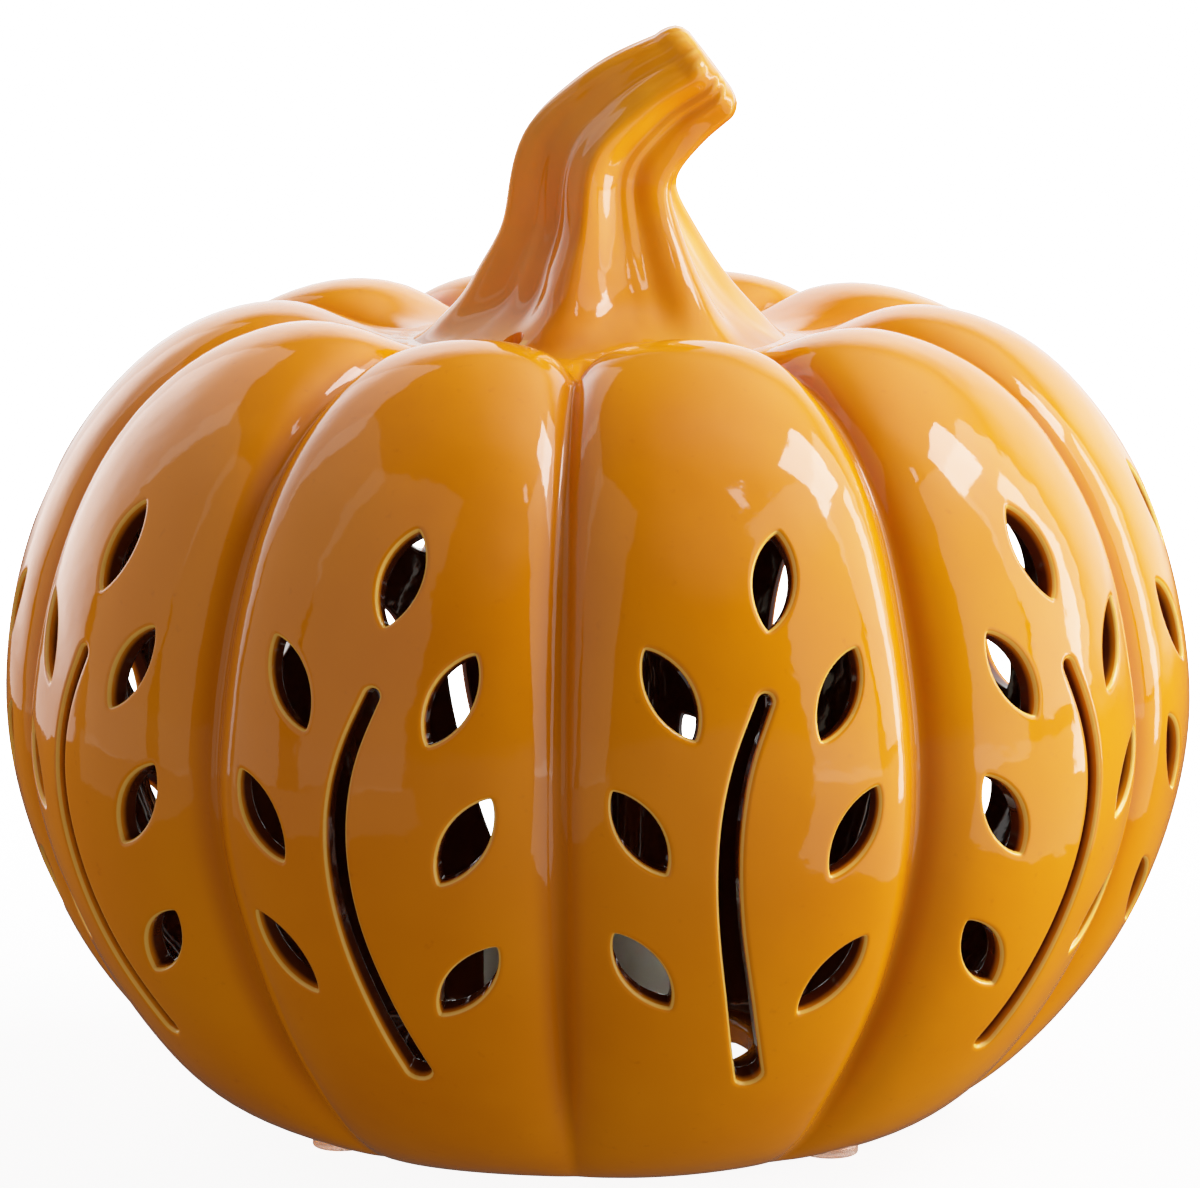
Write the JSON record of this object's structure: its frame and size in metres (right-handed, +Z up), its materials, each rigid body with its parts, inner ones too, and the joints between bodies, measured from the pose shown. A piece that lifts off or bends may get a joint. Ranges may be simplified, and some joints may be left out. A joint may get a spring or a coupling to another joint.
{
  "type": "pumpkin lantern",
  "caption": "Pierced lobed ceramic pumpkin lantern with a curved stem, open at the base, standing over a battery votive light.",
  "frame": {"origin": "on the table, under the middle of the lantern", "axes": "+Z up out of the table; -Y towards the front, where a groove between two lobes faces; +X to the front's right, where the stem leans"},
  "size_m": [0.21, 0.2042, 0.1934],
  "materials": {
    "glaze": "glossy mustard-orange glaze, lighter where it breaks over edges",
    "pad_rubber": "clear satin",
    "candle_plastic": "frosted, wax-like",
    "flame_plastic": "translucent",
    "lamp_epoxy": "clear amber",
    "steel": "plated",
    "cell_steel": "bright rolled steel",
    "board_laminate": "solder mask",
    "chip_plastic": "moulded",
    "base_plastic": "moulded",
    "switch_plastic": "moulded"
  },
  "bodies": {
    "votive": {"votive_shell": "candle_plastic", "flame_tip": "flame_plastic", "led_lamp": "lamp_epoxy", "led_leads": "steel", "circuit_board": "board_laminate", "timer_chip": "chip_plastic", "resistor": "chip_plastic", "capacitor": "steel", "switch_case": "steel", "base_plate": "base_plastic", "base_screw_1": "steel", "base_screw_2": "steel", "contact_spring": "steel", "contact_leaf": "steel"},
    "pumpkin": {"pumpkin_shell": "glaze", "stem": "glaze", "foot_pad_1": "pad_rubber", "foot_pad_2": "pad_rubber", "foot_pad_3": "pad_rubber", "foot_pad_4": "pad_rubber"},
    "battery_lid": {"battery_door": "base_plastic"},
    "cells": {"coin_cell_1": "cell_steel", "coin_cell_2": "cell_steel"},
    "lid_screw": {"door_screw": "steel"},
    "switch_knob": {"switch_slider": "switch_plastic"}
  },
  "joints": [
    {"name": "pumpkin_lift", "type": "slide", "parent": "votive", "child": "pumpkin", "axis": [0, 0, 1], "range_m": [0, 0.15]},
    {"name": "battery_lid_slide", "type": "slide", "parent": "votive", "child": "battery_lid", "axis": [0, 0, -1], "range_m": [0, 0.03]},
    {"name": "cells_slide", "type": "slide", "parent": "votive", "child": "cells", "axis": [0, 0, -1], "range_m": [0, 0.015]},
    {"name": "lid_screw_turn", "type": "hinge", "parent": "battery_lid", "child": "lid_screw", "pos_m": [0, 0.0083, 0.0026], "axis": [0, 0, 1], "continuous": true},
    {"name": "switch_slide", "type": "slide", "parent": "votive", "child": "switch_knob", "axis": [1, 0, 0], "range_m": [-0.0015, 0.0015]}
  ],
  "couplings": [
    {"joint": "cells_slide", "follows": "battery_lid_slide", "ratio": 0.5}
  ]
}
